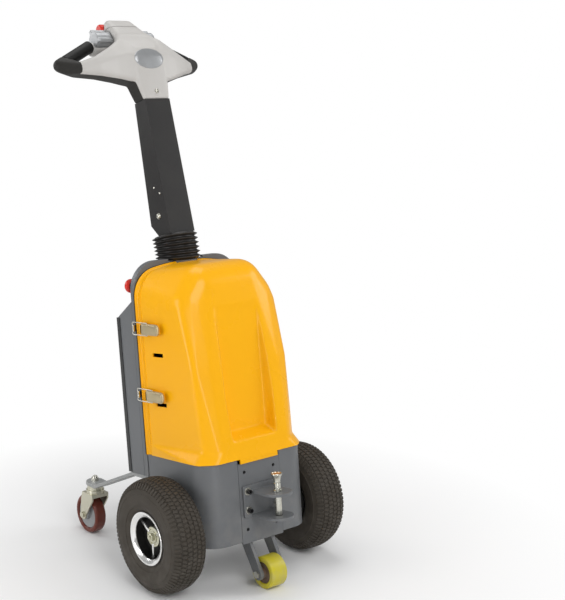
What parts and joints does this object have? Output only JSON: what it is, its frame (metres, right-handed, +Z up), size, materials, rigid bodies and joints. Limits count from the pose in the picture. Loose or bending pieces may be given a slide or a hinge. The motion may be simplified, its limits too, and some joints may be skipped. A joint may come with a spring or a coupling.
{
  "type": "electric tugger",
  "caption": "Pedestrian electric tow unit: leaning battery body with a moulded cover on air-filled drive wheels, rear casters, front roller, drop-pin hitch and tilting tiller.",
  "frame": {"origin": "on the floor, midway across the machine and midway between the front of the hitch and the back of the tiller head", "axes": "+Z up, hitch towards -Y, operator towards +Y, +X across the machine along the drive axle"},
  "size_m": [0.51, 0.6926, 1.2803],
  "materials": {
    "grey_paint": "satin powder coat",
    "pale_grey_paint": "satin powder coat",
    "cast_housing": "matt cast",
    "black_case": "matt moulded",
    "black_panel": "satin sheet",
    "yellow_cover": "orange-peel gloss",
    "latch_tan": "yellow zinc",
    "zinc_plate": "zinc plated",
    "dark_steel": "black oxide",
    "red_plastic": "gloss moulded",
    "lime_tread": "cast polyurethane",
    "brown_core": "matt moulded",
    "maroon_tread": "cast polyurethane",
    "grey_core": "matt moulded",
    "tyre": "matt rubber",
    "bright_alloy": "polished",
    "black_dish": "satin black",
    "black_rubber": "satin rubber",
    "black_paint": "satin powder coat",
    "black_plastic": "matt moulded",
    "white_plastic": "satin moulded",
    "grip_rubber": "satin rubber"
  },
  "bodies": {
    "chassis": {"base_frame": "grey_paint", "wrap_left": "grey_paint", "wrap_right": "grey_paint", "front_plate": "grey_paint", "transaxle": "cast_housing", "battery_pack": "black_case", "column_frame": "grey_paint", "column_box": "grey_paint", "rear_panel": "black_panel", "pivot_housing": "grey_paint", "pivot_pin": "zinc_plate", "cover": "yellow_cover", "latch_levers": "latch_tan", "latch_bails": "zinc_plate", "latch_hooks": "zinc_plate", "estop_base": "black_case", "estop_button": "red_plastic", "hitch_bracket": "grey_paint", "hitch_screws": "dark_steel", "fork_arms": "grey_paint", "roller_axle": "zinc_plate", "caster_arm_left": "pale_grey_paint", "caster_arm_right": "pale_grey_paint", "kingpins": "zinc_plate", "bellows": "black_rubber"},
    "tiller": {"tiller_arm": "black_paint", "head_base": "black_plastic", "head_cover": "white_plastic", "grip_left": "grip_rubber", "grip_right": "grip_rubber", "throttle": "bright_alloy", "belly_button": "red_plastic"},
    "hitch_pin": {"hitch_pin": "zinc_plate"},
    "front_roller": {"roller_tread": "lime_tread", "roller_core": "brown_core"},
    "drive_wheel_left": {"tyre_left": "tyre", "rim_left": "bright_alloy", "dish_left": "black_dish", "hub_left": "zinc_plate"},
    "caster_left": {"caster_fork_left": "zinc_plate"},
    "caster_wheel_left": {"caster_tread_left": "maroon_tread", "caster_core_left": "grey_core"},
    "drive_wheel_right": {"tyre_right": "tyre", "rim_right": "bright_alloy", "dish_right": "black_dish", "hub_right": "zinc_plate"},
    "caster_right": {"caster_fork_right": "zinc_plate"},
    "caster_wheel_right": {"caster_tread_right": "maroon_tread", "caster_core_right": "grey_core"}
  },
  "joints": [
    {"name": "drive_wheel_spin_left", "type": "hinge", "parent": "chassis", "child": "drive_wheel_left", "pos_m": [-0.21, -0.14333, 0.1335], "axis": [1, 0, 0], "continuous": true},
    {"name": "drive_wheel_spin_right", "type": "hinge", "parent": "chassis", "child": "drive_wheel_right", "pos_m": [0.21, -0.14333, 0.1335], "axis": [1, 0, 0], "continuous": true},
    {"name": "front_roller_spin", "type": "hinge", "parent": "chassis", "child": "front_roller", "pos_m": [0, -0.28133, 0.0375], "axis": [1, 0, 0], "continuous": true},
    {"name": "caster_swivel_left", "type": "hinge", "parent": "chassis", "child": "caster_left", "pos_m": [-0.144, 0.23467, 0.133], "axis": [0, 0, 1], "continuous": true},
    {"name": "caster_wheel_spin_left", "type": "hinge", "parent": "caster_left", "child": "caster_wheel_left", "pos_m": [-0.144, 0.25667, 0.05], "axis": [1, 0, 0], "continuous": true},
    {"name": "caster_swivel_right", "type": "hinge", "parent": "chassis", "child": "caster_right", "pos_m": [0.144, 0.23467, 0.133], "axis": [0, 0, 1], "continuous": true},
    {"name": "caster_wheel_spin_right", "type": "hinge", "parent": "caster_right", "child": "caster_wheel_right", "pos_m": [0.144, 0.25667, 0.05], "axis": [1, 0, 0], "continuous": true},
    {"name": "tiller_tilt", "type": "hinge", "parent": "chassis", "child": "tiller", "pos_m": [0, 0.05174, 0.7061], "axis": [-1, 0, 0], "range_deg": [0, 60], "stiffness_Nm_per_rad": 18, "springref_deg": -34.38, "deforming": ["bellows"]},
    {"name": "hitch_pin_lift", "type": "slide", "parent": "chassis", "child": "hitch_pin", "axis": [0, 0.1132, 0.9936], "range_m": [0, 0.07]}
  ]
}
